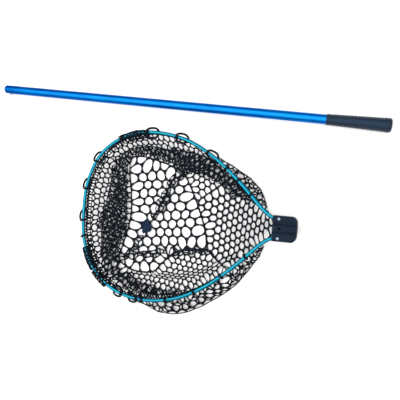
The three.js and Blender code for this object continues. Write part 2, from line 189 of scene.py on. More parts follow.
def moulded(add, colour, paleColour, grainMm, rough, depth=0.08, shine=0.25, paintedSkyTint="#ffffff"):
    # Injection-moulded plastic or rubber: the tool's spark-eroded texture shows as a fine grain,
    # and handling leaves slightly paler, smoother patches.
    place = add("ShaderNodeTexCoord", {}, "Object")
    patches = add("ShaderNodeTexNoise", {
        "Vector": place, "Scale": 1 / (22 * mm), "Detail": 4, "Roughness": 0.6})
    grain = add("ShaderNodeTexNoise", {
        "Vector": place, "Scale": 1 / (grainMm * mm), "Detail": 3, "Roughness": 0.6})
    share = add("ShaderNodeMapRange", {"Value": patches, "From Min": 0.35, "From Max": 0.75})
    blend = add("ShaderNodeMixRGB", {
        "Fac": share, "Color1": linear(colour), "Color2": linear(paleColour)})
    roughness = add("ShaderNodeMapRange", {
        "Value": patches, "From Min": 0.3, "From Max": 0.7,
        "To Min": rough - 0.07, "To Max": rough + 0.07})
    bump = add("ShaderNodeBump", {"Height": grain, "Strength": 0.35, "Distance": depth * mm})
    # The reflection tint is the last argument; a bluish one is painted reflection of a blue sky that the
    # white studio doesn't have.
    return add("ShaderNodeBsdfPrincipled", {
        "Base Color": blend, "Roughness": roughness, "IOR": 1.5, "Specular IOR Level": shine,
        "Specular Tint": linear(paintedSkyTint), "Normal": bump})


def plated(add, colour, rough):
    # Turned and plated steel: bright, with fine marks left by the tool and the driver.
    place = add("ShaderNodeTexCoord", {}, "Object")
    marks = add("ShaderNodeTexNoise", {
        "Vector": place, "Scale": 1 / (0.8 * mm), "Detail": 4, "Roughness": 0.7})
    roughness = add("ShaderNodeMapRange", {
        "Value": marks, "From Min": 0.3, "From Max": 0.7,
        "To Min": rough - 0.06, "To Max": rough + 0.1})
    bump = add("ShaderNodeBump", {"Height": marks, "Strength": 0.15, "Distance": 0.04 * mm})
    return add("ShaderNodeBsdfPrincipled", {
        "Base Color": linear(colour), "Metallic": 1, "Roughness": roughness, "Normal": bump})


# by piece: the material's name, the record's slot, and how the finish is made
finishes = {
    "hoop": ("anodised_aluminium_teal", "teal_anodised", anodised, "#207f94", "#1b7a94", "#2a677d"),
    "handle": ("anodised_aluminium_blue", "blue_anodised", anodised, "#0c72c4", "#0a63b2", "#1c4f86",
               0.02, 4),
    # the last colour of the yoke, net, bunched net and grip finishes is a bluish reflection tint: painted
    # sky reflection
    "yoke": ("glass_filled_nylon", "yoke_nylon", moulded, "#0f1620", "#16202d", 0.6, 0.45, 0.08,
             0.14, "#9fc0e8"),
    "bush": ("acetal", "bush_nylon", moulded, "#20262e", "#2a313a", 1.5, 0.4, 0.03),
    "steel": ("zinc_plated_steel", "steel", plated, "#7d8998", 0.24),
    "net": ("moulded_net_rubber", "net_rubber", moulded, "#07090e", "#10161f", 0.9, 0.55, 0.1,
            0.16, "#b4c8e6"),
    "bunched": ("bunched_net_rubber", "net_rubber", moulded, "#0e1826", "#162438", 2.5, 0.5, 0.3,
                0.2, "#86aee0"),
    "grip": ("moulded_grip_rubber", "grip_rubber", moulded, "#10161d", "#18212b", 0.7, 0.5, 0.12,
             0.6, "#86aee0"),
    "foam": ("closed_cell_foam", "foam", moulded, "#8c8f92", "#a2a5a8", 1.2, 0.85, 0.3),
}
materials = {key: newMaterial(name, lambda add: make(add, *values))
             for key, (name, _, make, *values) in finishes.items()}


# steps that several pieces share
def catmull(points, closed=False, perSpan=24):
    # A centripetal curve through the points, as closely spaced samples.
    pts = np.asarray(points, float)
    if closed:
        pts = np.vstack([pts[-1], pts, pts[0], pts[1]])
    else:
        pts = np.vstack([2 * pts[0] - pts[1], pts, 2 * pts[-1] - pts[-2]])
    out = []
    for p0, p1, p2, p3 in zip(pts, pts[1:], pts[2:], pts[3:]):
        d0, d1, d2 = (max(np.linalg.norm(b - a), 1e-6) ** 0.5
                      for a, b in ((p0, p1), (p1, p2), (p2, p3)))
        m1 = ((p1 - p0) / d0 - (p2 - p0) / (d0 + d1) + (p2 - p1) / d1) * d1
        m2 = ((p2 - p1) / d1 - (p3 - p1) / (d1 + d2) + (p3 - p2) / d2) * d1
        t = np.linspace(0, 1, perSpan, endpoint=False)[:, None]
        out.append((2 * t**3 - 3 * t**2 + 1) * p1 + (t**3 - 2 * t**2 + t) * m1
                   + (3 * t**2 - 2 * t**3) * p2 + (t**3 - t**2) * m2)
    if not closed:
        out.append(pts[-2][None])
    return np.vstack(out)


def evenly(samples, count, closed=False):
    # The same curve, evenly spaced; a closed one doesn't repeat its first point.
    path = np.vstack([samples, samples[:1]]) if closed else samples
    run = np.concatenate([[0], np.cumsum(np.linalg.norm(np.diff(path, axis=0), axis=1))])
    at = np.linspace(0, run[-1], count, endpoint=not closed)
    return np.stack([np.interp(at, run, path[:, k]) for k in range(path.shape[1])], 1)


def finishPiece(piece, finish, nodeName, body="head"):
    piece.data.materials.append(materials[finish])
    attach(piece, body)
    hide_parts(nodeName)
    return piece


def meshPiece(name, verts, faces):
    mesh = bpy.data.meshes.new(name)
    mesh.from_pydata([tuple(v) for v in verts], [], [tuple(f) for f in faces])
    shape = bmesh.new()
    shape.from_mesh(mesh)
    bmesh.ops.recalc_face_normals(shape, faces=shape.faces)
    shape.to_mesh(mesh)
    shape.free()
    mesh.shade_smooth()
    piece = bpy.data.objects.new(name, mesh)
    bpy.context.scene.collection.objects.link(piece)
    return piece


def strand(path, radius, sides=10, closed=False):
    # Vertices and faces of a round strand along a path, in the path's units.
    path = np.asarray(path, float)
    count = len(path)
    if closed:
        along = np.roll(path, -1, 0) - np.roll(path, 1, 0)
    else:
        along = np.gradient(path, axis=0)
    along /= np.linalg.norm(along, axis=1)[:, None]
    side = np.cross(along, (0, 0, 1))
    steep = np.linalg.norm(side, axis=1) < 0.2
    side[steep] = np.cross(along, (0, 1, 0))[steep]
    side[0] /= np.linalg.norm(side[0])
    for i in range(1, count):
        side[i] = side[i - 1] - along[i] * (side[i - 1] @ along[i])
        side[i] /= np.linalg.norm(side[i])
    up = np.cross(side, along)
    twist = 0.0
    if closed:
        last = side[-1] - along[0] * (side[-1] @ along[0])
        twist = atan2(last @ up[0], last @ side[0])
    radii = np.broadcast_to(np.asarray(radius, float), (count,))
    verts, faces = [], []
    for i in range(count):
        for k in range(sides):
            a = 2 * pi * k / sides - twist * i / count
            verts.append(path[i] + radii[i] * (cos(a) * side[i] + sin(a) * up[i]))
    for i in range(count if closed else count - 1):
        j = (i + 1) % count
        for k in range(sides):
            n = (k + 1) % sides
            faces.append((i * sides + k, i * sides + n, j * sides + n, j * sides + k))
    if not closed:
        first, last = len(verts), len(verts) + 1
        verts += [path[0] - along[0] * radii[0] * 0.6, path[-1] + along[-1] * radii[-1] * 0.6]
        for k in range(sides):
            n = (k + 1) % sides
            faces.append((first, n, k))
            faces.append((last, (count - 1) * sides + k, (count - 1) * sides + n))
    return verts, faces


def joined(parts):
    verts, faces = [], []
    for v, f in parts:
        base = len(verts)
        verts.extend(v)
        faces.extend([tuple(i + base for i in face) for face in f])
    return verts, faces


def netPiece(name, parts, nodeName):
    verts, faces = joined(parts)
    piece = meshPiece(name, onHead(verts), faces)
    return finishPiece(piece, "net", nodeName)


def selectOnly(piece):
    deselectAll()
    piece.select_set(True)
    bpy.context.view_layer.objects.active = piece


def applyModifiers(piece):
    selectOnly(piece)
    for modifier in list(piece.modifiers):
        bpy.ops.object.modifier_apply(modifier=modifier.name)


def cutAway(piece):
    # Cuts the shape that was added last out of the piece, and removes that shape.
    cutter = bpy.context.object
    cut = piece.modifiers.new("cutAway", "BOOLEAN")
    cut.object = cutter
    cut.solver = "EXACT"
    applyModifiers(piece)
    bpy.data.objects.remove(cutter)


def mergeMesh(threshold, flatAngle=None):
    # Merges the active mesh's loose points and turns its faces outwards.
    bpy.ops.object.mode_set(mode="EDIT")
    bpy.ops.mesh.select_all(action="SELECT")
    bpy.ops.mesh.remove_doubles(threshold=threshold * mm)
    if flatAngle:
        bpy.ops.mesh.dissolve_limited(angle_limit=radians(flatAngle))
    bpy.ops.mesh.normals_make_consistent(inside=False)
    bpy.ops.object.mode_set(mode="OBJECT")


def turnedPiece(name, profile, steps):
    # A profile of (x, radius) in millimetres, drawn point by point and spun round the X axis.
    deselectAll()
    x, r = profile[0]
    bpy.ops.mesh.primitive_plane_add(size=mm, location=(x * mm, 0, r * mm))
    piece = bpy.context.object
    piece.name = name
    bpy.ops.object.transform_apply()
    bpy.ops.object.mode_set(mode="EDIT")
    bpy.ops.mesh.select_all(action="SELECT")
    bpy.ops.mesh.merge(type="CENTER")
    for (x0, r0), (x1, r1) in zip(profile, profile[1:]):
        move = ((x1 - x0) * mm, 0, (r1 - r0) * mm)
        bpy.ops.mesh.extrude_region_move(TRANSFORM_OT_translate={"value": move})
    bpy.ops.mesh.select_all(action="SELECT")
    bpy.ops.mesh.spin(steps=steps, angle=2 * pi, center=(0, 0, 0), axis=(1, 0, 0))
    bpy.ops.object.mode_set(mode="OBJECT")
    mergeMesh(0.005)
    return piece


def place(piece, matrix):
    selectOnly(piece)
    piece.matrix_world = matrix
    bpy.ops.object.transform_apply()


def smoothByAngle(piece, angle=35):
    selectOnly(piece)
    bpy.ops.object.shade_smooth_by_angle(angle=radians(angle))


def roundedCopy(nodeName, name, width, finish, body="head"):
    # A copy of a CAD node with its triangles merged to faces and its edges rounded.
    selectOnly(frame["nodes"][nodeName])
    bpy.ops.object.duplicate(linked=False)
    piece = bpy.context.object
    piece.name = name
    piece.parent = None
    piece.matrix_world = Matrix.Identity(4)
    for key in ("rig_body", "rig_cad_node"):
        if key in piece:
            del piece[key]
    piece.data.materials.clear()
    mergeMesh(0.01, 0.5)
    bevel = piece.modifiers.new("edgeRounding", "BEVEL")
    bevel.width = width * mm
    bevel.segments = 3
    bevel.limit_method = "ANGLE"
    bevel.angle_limit = radians(35)
    applyModifiers(piece)
    smoothByAngle(piece, 40)
    return finishPiece(piece, finish, nodeName, body)


hoop = {
    "radius": 4.5,
    "sides": 40,
    # half of its centre line, from the nose round to the end of one leg
    "half": [(-245, 0), (-238, 77), (-205, 149), (-146, 194), (-72, 210), (19, 196), (96, 156),
             (163, 100), (226, 38), (246, 25), (262, 22.5), (293, 22.5)],
}
hoopPoints = [(x, -y) for x, y in hoop["half"][:0:-1]] + hoop["half"]
hoopLine = evenly(catmull([(x, y, hoopHeight) for x, y in hoopPoints]), 480)


def makeHoop():
    deselectAll()
    bpy.ops.curve.primitive_bezier_curve_add()
    piece = bpy.context.object
    piece.name = "hoopTube"
    curve = piece.data
    curve.splines.clear()
    line = curve.splines.new("POLY")
    line.points.add(len(hoopLine) - 1)
    for point, at in zip(line.points, onHead(hoopLine)):
        point.co = (*at, 1)
    curve.dimensions = "3D"
    curve.bevel_depth = hoop["radius"] * mm
    curve.bevel_resolution = hoop["sides"] // 4 - 2
    curve.use_fill_caps = True
    bpy.ops.object.convert(target="MESH")
    bpy.ops.object.transform_apply()
    mergeMesh(0.01)
    smoothByAngle(piece)
    finishPiece(piece, "hoop", "hoop_tube")


makeHoop()
print("hoop ready")


# yoke with its bush, screws and nuts
def makeYoke():
    for side in ("upper", "lower"):
        roundedCopy(f"yoke_{side}", f"yoke{side.title()}Half", 1.1, "yoke")
    roundedCopy("socket_bush", "socketBush", 0.4, "bush", "mouth_bush")


screw = {"headRadius": 3.9, "headHeight": 2.6, "recess": 4.6, "recessWidth": 0.95, "recessDepth": 1.3}


def makeScrews():
    for side in ("right", "left"):
        low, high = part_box(f"yoke_screw_{side}")
        bottom, top = low.z / mm, high.z / mm
        radius, headHeight = screw["headRadius"], screw["headHeight"]
        seat = top - headHeight
        dome = [(top - headHeight * (1 - sin(a)) * 0.62, radius * cos(a) ** 0.8)
                for a in (radians(d) for d in range(0, 90, 10))]
        profile = [(bottom, 0), (bottom, 1.7), (bottom + 0.4, 2), (seat, 2), (seat, radius - 0.1),
                   (seat + 0.1, radius)] + dome + [(top, 0)]
        piece = turnedPiece(f"yokeScrew{side.title()}", profile, 40)
        middle = (low + high) / 2
        place(piece, Matrix.Translation((middle.x, middle.y, 0)) @ Matrix.Rotation(-pi / 2, 4, "Y"))
        for turn in (25, 115):
            deselectAll()
            bpy.ops.mesh.primitive_cube_add(size=1, location=(middle.x, middle.y, high.z))
            cutter = bpy.context.object
            cutter.scale = (screw["recess"] * mm, screw["recessWidth"] * mm,
                            2 * screw["recessDepth"] * mm)
            cutter.rotation_euler = (0, 0, radians(turn))
            cutAway(piece)
        smoothByAngle(piece)
        finishPiece(piece, "steel", f"yoke_screw_{side}")
        roundedCopy(f"yoke_nut_{side}", f"yokeNut{side.title()}", 0.3, "steel")


makeYoke()
makeScrews()
print("yoke ready")


# the net, first the way it lies and then its cells
net = {
    "centre": (-10, 0), "wallCell": 15.5, "spillCell": 20.5, "yokeCell": 18.5, "floorCell": 24,
    "halfStrand": 1.42, "yokeStrand": 1.75, "halfThick": 1.3, "edgeStrand": 1.35,
    "floorHeight": 2.6, "unevenness": 0.2,
    # where the floor panel's seam lies on the ground, anticlockwise from the yoke side
    "floorEdge": [(81, -73), (79, -39), (68, -4), (49, 42), (27, 86), (6, 117), (-27, 131),
                  (-101, 150), (-138, 146), (-132, 49), (-129, -4), (-148, -85), (-156, -120),
                  (-137, -138), (-101, -148), (-52, -142), (-33, -119), (15, -82)],
    # how the slack wall folds: a direction from the centre, and then six pairs of distance
    # outside the hoop and height, from where it hangs to where it turns in along the ground
    "folds": [
        (-8, 0, 40, 1, 39, 2, 37, 1, 33, 0, 30, -2, 27),
        (0, 0, 31, 0, 30.5, 0, 30, 0, 29.5, -1, 29, -1.5, 28.5),
        (7, 0, 40, 1, 38, 2, 35, 1, 31, 0, 28, -2, 26),
        (10, 3, 40, 7, 35, 9, 26, -3, 22, -4, 18, -5, 14),
        (13, 4, 40, 9, 35, 15, 24, -8, 19, -4, 15, -6, 11),
        (17, 4, 40, 11, 33, 20, 18, -18, 15, -6, 11, -9, 7),
        (22, 4, 40, 13, 32, 26, 16, -34, 13, -8, 9, -12, 6),
        (30, 4, 40, 12, 32, 22, 17, -38, 14, -8, 10, -12, 6),
        (37, 4, 40, 10, 33, 17, 17, -42, 14, -8, 10, -12, 6),
        (50, 2, 39, 4, 34, 5, 22, -54, 14, -10, 10, -16, 6),
        (66, -3, 39, -6, 33, -10, 20, -60, 14, -12, 10, -16, 6),
        (81, -4, 39, -9, 32, -20, 17, -78, 13, -24, 10, -28, 6),
        (100, -4, 39, -12, 32, -34, 16, -76, 13, -36, 10, -38, 6),
        (120, -4, 39, -11, 32, -26, 20, -60, 14, -26, 10, -30, 6),
        (131, -4, 39, -10, 32, -22, 20, -48, 14, -20, 10, -26, 6),
        (140, -4, 39, -9, 33, -22, 20, -80, 16, -24, 10, -28, 6),
        (160, -4, 39, -10, 32, -32, 20, -113, 17, -44, 10, -46, 6),
        (180, -4, 39, -10, 32, -28, 20, -121, 17, -38, 10, -42, 6),
        (198, -4, 39, -9, 32, -18, 20, -113, 17, -26, 10, -30, 6),
        (208, -4, 39, -8, 33, -14, 24, -97, 17, -16, 10, -22, 6),
        (218, -2, 39, -5, 34, -8, 24, -66, 16, -10, 10, -14, 6),
        (228, 2, 40, 4, 34, 2, 22, -48, 16, -6, 10, -12, 6),
        (240, 4, 40, 8, 34, 8, 20, -44, 14, -4, 10, -8, 6),
        (254, 4, 40, 9, 30, 18, 12, -36, 12, -6, 8, -8, 5),
        (266, 4, 40, 16, 28, 38, 8, -24, 10, -4, 7, -6, 5),
        (278, 4, 40, 18, 28, 46, 8, -12, 9, -2, 7, -4, 5),
        (300, 4, 40, 17, 28, 42, 8, 18, 5, -1, 6, -4, 5),
        (315, 4, 40, 16, 28, 39, 8, 16, 5, -1, 6, -4, 5),
        (327, 4, 40, 14, 28, 33, 9, 13, 6, -1, 6, -3, 5),
        (338, 4, 40, 12, 30, 25, 11, 9, 8, -1, 9, -3, 8),
        (346, 2, 40, 9, 33, 16, 20, -3, 15, -3, 13, -4, 12),
    ],
    # a pleat that squeezes the wall's cells where it lies on the ground: direction, distance
    # from the centre, and how much of the wall it takes up
    "pleat": [(226, 176, 0), (234, 178, 14), (250, 155, 20), (271, 147, 22), (292, 148, 22),
              (312, 157, 18), (331, 177, 10), (343, 198, 0)],
    "pleatWidth": 12,
    # towards the yoke the cells are squeezed more and more from here on
    "squeezeFrom": 90, "yokeSqueeze": 0.0021,
    # lines on the floor that its cells are drawn towards: a width and the points of the line
    "creases": [
        (15, [(4, 112), (-21, 90), (-42, 37), (-54, 16), (-66, -6), (-82, -28)]),
        (13, [(-157, -108), (-120, -106), (-85, -103), (-35, -94), (10, -82)]),
        (10, [(-165, -135), (-140, -115), (-125, -103), (-108, -80), (-90, -50)]),
    ],
    "foldWander": 5, "crumple": 2.6, "crumpleCell": 12.5, "creaseHeight": 7.4,
    # tight folds of net round the tube, and the gathered edge that hangs under it: the span of
    # directions, the cell, and pairs of distance outside the hoop and height
    "wraps": [
        ("right", (108, 127), 9.5, [(-12, 38), (-6, 39), (2, 39), (6.4, 42), (6.6, 47), (4, 50.6),
                                    (-1, 52), (-6, 49), (-10, 43), (-14, 36)]),
        ("nose", (203, 217.5), 8.5, [(-8, 36), (-2, 36), (6, 38), (10, 43), (7, 49), (1, 51.6),
                                     (-6, 49), (-10, 43), (-14, 36)]),
        ("left", (218.5, 230), 8.5, [(-8, 36), (-2, 35), (8, 37), (12, 42), (8, 49), (1, 51.6),
                                     (-6, 49), (-10, 43), (-14, 36)]),
        ("right", (127, 141), 8, [(3, 38), (-4, 36.5), (-10, 35), (-14, 36)]),
        ("nose", (143, 217), 8, [(3, 38), (-4, 36.5), (-10, 35), (-16, 36)]),
        ("left", (219, 292), 8, [(4, 38), (-3, 36.5), (-9, 36), (-14, 38)]),
    ],
    "panels": {"yoke": (-38, 38), "right": (38, 142), "nose": (142, 218), "left": (218, 322)},
}
chance = np.random.RandomState(11)


def ripple(a, b, size, seed):
    # Smooth, repeatable unevenness between about -1 and 1, with waves about size long.
    dice = np.random.RandomState(seed)
    total = np.zeros(np.broadcast(a, b).shape)
    for _ in range(5):
        heading = dice.uniform(0, 2 * pi)
        wave = 2 * pi / (size * dice.uniform(0.7, 1.6))
        total = total + np.sin((a * cos(heading) + b * sin(heading)) * wave + dice.uniform(0, 2 * pi))
    return total / 2.6


def toPolar(plan):
    # Direction from the net's centre and distance from it.
    dx, dy = (plan - net["centre"]).T
    return np.degrees(np.arctan2(dy, dx)), np.hypot(dx, dy)


def radiusByAngle(points, gridAngles):
    line = catmull([(x - net["centre"][0], y - net["centre"][1]) for x, y in points], True)
    angle = np.degrees(np.arctan2(line[:, 1], line[:, 0])) % 360
    order = np.argsort(angle)
    reach = np.hypot(line[:, 0], line[:, 1])
    return np.interp(gridAngles, angle[order], reach[order], period=360)


angleStep = 0.5
angles = np.arange(0, 360, angleStep)
foldSamples = 64
rimPoints = (hoop["half"][:9] + [(244, 22), (249, 9), (249, -9), (244, -22)]
             + [(x, -y) for x, y in hoop["half"][8:0:-1]])
rimReach = radiusByAngle(rimPoints, angles)
floorReach = radiusByAngle(net["floorEdge"], angles)


def around(values):
    # Values by direction, with the corners between the listed directions eased.
    window = np.hanning(19)
    window /= window.sum()
    padded = np.concatenate([values[-9:], values, values[:9]])
    return np.convolve(padded, window, "valid")


def makeFoldTable():
    at, *columns = np.array(net["folds"], float).T
    controls = [around(np.interp(angles, at, column, period=360)) for column in columns]
    controls = np.stack(controls, 1).reshape(len(angles), 6, 2)
    calm = np.clip(1 - np.abs((angles + 180) % 360 - 180) / 20, 0, 1)
    for k, share in ((2, 0.6), (3, 1.0), (4, 1.0)):
        wander = ripple(angles, 0 * angles, 26, 40 + k) + 0.6 * ripple(angles, 0 * angles, 9, 50 + k)
        if k == 2:
            share = np.where(controls[:, k, 0] > 4, 0.25, share)
        controls[:, k, 0] += wander * net["foldWander"] * share * (1 - calm)
        controls[:, k, 1] += 1.5 * ripple(angles, 0 * angles, 14, 60 + k) * (1 - calm)
    table, lengths = [], []
    for row in controls:
        line = catmull(row, False, 12)
        lengths.append(np.linalg.norm(np.diff(line, axis=0), axis=1).sum())
        table.append(evenly(line, foldSamples))
    return np.array(table), around(np.array(lengths)), controls[:, 5]


foldTable, foldLength, foldJoin = makeFoldTable()
groundEdge = rimReach + foldJoin[:, 0]


def runAt(angle):
    # Length along the rim at a direction, counted on past a full turn either way.
    turns = np.floor(np.asarray(angle) / 360)
    return turns * rimRun[-1] + np.interp(np.asarray(angle) - 360 * turns,
                                          np.append(angles, 360), rimRun)


def angleAt(run):
    turns = np.floor(np.asarray(run) / rimRun[-1])
    return 360 * turns + np.interp(run - turns * rimRun[-1], rimRun, np.append(angles, 360))


def byAngle(values, angle):
    return np.interp(angle, angles, values, period=360)


def fromPolar(angle, reach, height):
    a = np.radians(angle)
    return np.stack([net["centre"][0] + reach * np.cos(a), net["centre"][1] + reach * np.sin(a),
                     height], -1)


rimLine = fromPolar(angles, rimReach, 0 * angles)
rimRun = np.append(0, np.cumsum(np.linalg.norm(np.roll(rimLine, -1, 0) - rimLine, axis=1)))


def foldedPlace(flat):
    # From length along the rim and depth down the wall to where that point lies.
    run, depth = flat.T
    angle = angleAt(run)
    share = np.clip(depth / byAngle(foldLength, angle), 0, 1)
    row = (angle % 360) / angleStep
    low = np.floor(row).astype(int)
    mixRow = (row - low)[:, None]
    column = share * (foldSamples - 1)
    left = np.minimum(np.floor(column).astype(int), foldSamples - 2)
    mixColumn = (column - left)[:, None]
    low, high = low % len(angles), (low + 1) % len(angles)
    near = foldTable[low, left] * (1 - mixColumn) + foldTable[low, left + 1] * mixColumn
    far = foldTable[high, left] * (1 - mixColumn) + foldTable[high, left + 1] * mixColumn
    out, height = (near * (1 - mixRow) + far * mixRow).T
    loose = np.sin(pi * share) ** 0.5 * net["crumple"] * np.where(out > 4, 0.35, 1)
    out = out + loose * (ripple(run, depth, 30, 1) + 0.5 * ripple(run, depth, 13, 2))
    angle = angle + loose * ripple(run, depth, 26, 3) / 3.5
    height = height + 0.8 * loose * ripple(run, depth, 24, 4)
    return fromPolar(angle, byAngle(rimReach, angle) + out, np.maximum(height, 2.2))


def pleatTaken(angle, reach):
    # How much of the wall is folded away between the floor seam and this far out.
    at, places, sizes = zip(*net["pleat"])
    centre, extra = np.interp(angle % 360, at, places), np.interp(angle % 360, at, sizes)
    t = np.clip((reach - centre) / (2 * net["pleatWidth"]) + 0.5, 0, 1)
    return extra * t * t * (3 - 2 * t), extra * 4 * t * (1 - t)


def laidOut(plan):
    # Where a point of the wall on the ground was on the flat net: pleats and squeezes undone.
    angle, reach = toPolar(plan)
    flat = fromPolar(angle, reach + pleatTaken(angle, reach)[0], 0 * reach)[:, :2]
    past = np.maximum(flat[:, 0] - net["squeezeFrom"], 0)
    flat[:, 0] += net["yokeSqueeze"] * past**2
    return flat


def pickedUp(flat):
    # The same undone: from the flat net to the ground.
    plan = flat.copy()
    past = np.maximum(flat[:, 0] - net["squeezeFrom"], 0)
    squeeze = net["yokeSqueeze"]
    plan[:, 0] -= past - (np.sqrt(1 + 4 * squeeze * past) - 1) / (2 * squeeze)
    angle, reach = toPolar(plan)
    low, high = reach - 40, reach.copy()
    for _ in range(24):
        middle = (low + high) / 2
        over = middle + pleatTaken(angle, middle)[0] > reach
        high, low = np.where(over, middle, high), np.where(over, low, middle)
    return angle, (low + high) / 2


def groundPlace(flat):
    # The part of the wall that lies between the fold and the floor seam.
    angle, reach = pickedUp(flat)
    inner = byAngle(floorReach, angle)
    outer = byAngle(groundEdge, angle)
    share = np.clip((reach - inner) / (outer - inner), 0, 1)
    edge = byAngle(foldJoin[:, 1], angle)
    height = 3.4 + (edge - 3.4) * share ** 1.6
    bumps = 2.6 * np.sin(pi * share) * (0.8 + ripple(flat[:, 0], flat[:, 1], 46, 5))
    bumps = bumps + 0.28 * pleatTaken(angle, reach)[1]
    return fromPolar(angle, reach, np.maximum(height + bumps, 2.4))


def floorPlace(flat):
    # The floor panel on the ground, its cells drawn in along the creases.
    x, y = flat[:, 0], flat[:, 1]
    lift = 1.6 * (0.7 + ripple(x, y, 60, 6))
    moved = flat.copy()
    for width, points in net["creases"]:
        line = evenly(catmull(points), 60)
        gap = moved[:, None] - line[None]
        distance = np.linalg.norm(gap, axis=2)
        nearest = distance.argmin(1)
        rows = np.arange(len(moved))
        away, distance = gap[rows, nearest], distance[rows, nearest][:, None]
        draw = np.exp(-((distance / width) ** 2))
        moved = moved - 0.55 * away * draw
        lift = lift + 3.4 * draw[:, 0] * (0.6 + 0.5 * ripple(x, y, 22, 7))
    return np.column_stack([moved, net["floorHeight"] + np.maximum(lift, 0)])


def insideOutline(points, outline):
    x, y = points[:, 0][:, None], points[:, 1][:, None]
    ax, ay = outline[:, 0], outline[:, 1]
    bx, by = np.roll(ax, -1), np.roll(ay, -1)
    crosses = (ay > y) != (by > y)
    slope = np.where(by == ay, 1e-9, by - ay)
    return (np.sum(crosses & (x < (bx - ax) * (y - ay) / slope + ax), axis=1) % 2) == 1


def nearestOnOutline(points, outline):
    a, b = outline, np.roll(outline, -1, 0)
    ab = b - a
    span = np.maximum((ab**2).sum(1), 1e-9)
    t = np.clip(((points[:, None] - a[None]) * ab[None]).sum(2) / span, 0, 1)
    foot = a[None] + t[..., None] * ab[None]
    distance = np.linalg.norm(points[:, None] - foot, axis=2)
    best = distance.argmin(1)
    rows = np.arange(len(points))
    return foot[rows, best], distance[rows, best]


def cellSides(cell):
    # The six sides, each as its two corners with the lower number first.
    return [(min(a, b), max(a, b)) for a, b in zip(cell, np.roll(cell, -1))]


def flatCells(outline, pitch, turn, unevenness):
    # Six-sided cells that fill an outline; those at its edge are cut to follow it.
    outline = np.asarray(outline, float)
    rot = np.array([[cos(turn), -sin(turn)], [sin(turn), cos(turn)]])
    local = outline @ rot
    low, high = local.min(0) - pitch, local.max(0) + pitch
    rowStep = pitch * sqrt(3) / 2
    centres = [((i + 0.5 * (j % 2)) * pitch + low[0], j * rowStep + low[1])
               for j in range(ceil((high[1] - low[1]) / rowStep))
               for i in range(ceil((high[0] - low[0]) / pitch))]
    centres = np.array(centres) @ rot.T
    centres = centres[insideOutline(centres, outline)]
    centres = centres[nearestOnOutline(centres, outline)[1] > 0.32 * pitch]
    reach = pitch / sqrt(3)
    around6 = np.array([(cos(turn + radians(30 + 60 * k)), sin(turn + radians(30 + 60 * k)))
                        for k in range(6)]) * reach
    raw = (centres[:, None] + around6[None]).reshape(-1, 2)
    keys, first, index = np.unique(np.round(raw / (0.02 * pitch)).astype(int), axis=0,
                                   return_index=True, return_inverse=True)
    corners, cells = raw[first], index.reshape(-1, 6)
    uses = {}
    for cell in cells:
        for side in cellSides(cell):
            uses[side] = uses.get(side, 0) + 1
    rim = np.array(sorted({i for side, n in uses.items() if n == 1 for i in side}))
    corners = corners + chance.uniform(-unevenness, unevenness, corners.shape) * pitch
    corners[rim] = nearestOnOutline(corners[rim], outline)[0]
    pairs = np.array(list(uses))
    fixed = np.zeros(len(corners), bool)
    fixed[rim] = True
    for _ in range(2):
        total, count = np.zeros_like(corners), np.zeros(len(corners))
        for a, b in ((0, 1), (1, 0)):
            np.add.at(total, pairs[:, a], corners[pairs[:, b]])
            np.add.at(count, pairs[:, a], 1)
        mean = total / count[:, None]
        corners[~fixed] = 0.6 * corners[~fixed] + 0.4 * mean[~fixed]
    return corners, cells, uses


def cellNet(outline, pitch, turn, toPlace, unevenness=net["unevenness"],
            halfStrand=net["halfStrand"], halfThick=net["halfThick"]):
    # Rubber strands round each cell: a crest between neighbours, falling to a rounded hole.
    corners, cells, uses = flatCells(outline, pitch, turn, unevenness)
    middle = {side: len(corners) + n for n, side in enumerate(uses)}
    mids = np.array([(corners[a] + corners[b]) / 2 for a, b in uses])
    mids = mids + chance.uniform(-0.03, 0.03, mids.shape) * pitch
    flat = np.vstack([corners, mids])
    crest = toPlace(flat)
    step = 0.6
    normal = np.cross(toPlace(flat + (step, 0)) - crest, toPlace(flat + (0, step)) - crest)
    size = np.linalg.norm(normal, axis=1)[:, None]
    normal = np.where(size > 1e-6, normal / np.maximum(size, 1e-6), (0, 0, 1))
    count = len(crest)
    knot = np.where(np.arange(count) < len(corners), 1.12, 1)[:, None] * halfThick
    verts = np.vstack([crest + normal * knot, crest - normal * knot]).tolist()
    faces, outward = [], {}
    for cell in cells:
        sides = cellSides(cell)
        ring = [i for a, side in zip(cell, sides) for i in (a, middle[side])]
        p, n = crest[ring], normal[ring]
        toward = p.mean(0) - p
        distance = np.linalg.norm(toward, axis=1)[:, None]
        width = np.where(np.arange(12) % 2 == 0, 1.75, 0.95)[:, None] * halfStrand
        hole = p + toward / np.maximum(distance, 1e-6) * np.minimum(width, 0.66 * distance)
        hole = 0.5 * hole + 0.25 * (np.roll(hole, 1, 0) + np.roll(hole, -1, 0))
        shoulder = p + (hole - p) * 0.5
        base = len(verts)
        verts += (shoulder + n * halfThick * 0.82).tolist()
        verts += hole.tolist()
        verts += (shoulder - n * halfThick * 0.82).tolist()
        for k in range(12):
            m = (k + 1) % 12
            a, b = ring[k], ring[m]
            rows = [(a, b)] + [(base + 12 * row + k, base + 12 * row + m) for row in range(3)]
            rows.append((count + a, count + b))
            faces += [(*near, far[1], far[0]) for near, far in zip(rows, rows[1:])]
        for k, side in enumerate(sides):
            if uses[side] == 1:
                for i in (2 * k, 2 * k + 1, (2 * k + 2) % 12):
                    outward.setdefault(ring[i], []).append(-toward[i] / max(distance[i, 0], 1e-6))
    outer = {}
    for i, directions in outward.items():
        away = np.sum(directions, axis=0)
        away /= max(np.linalg.norm(away), 1e-6)
        outer[i] = len(verts)
        verts.append((crest[i] + away * halfStrand).tolist())
    for (a, b), n in uses.items():
        if n == 1:
            for i, j in ((a, middle[a, b]), (middle[a, b], b)):
                faces.append((i, j, outer[j], outer[i]))
                faces.append((outer[i], outer[j], count + j, count + i))
    return verts, faces


def eachDegree(start, end):
    return np.arange(start, end + 0.01, 1.0)


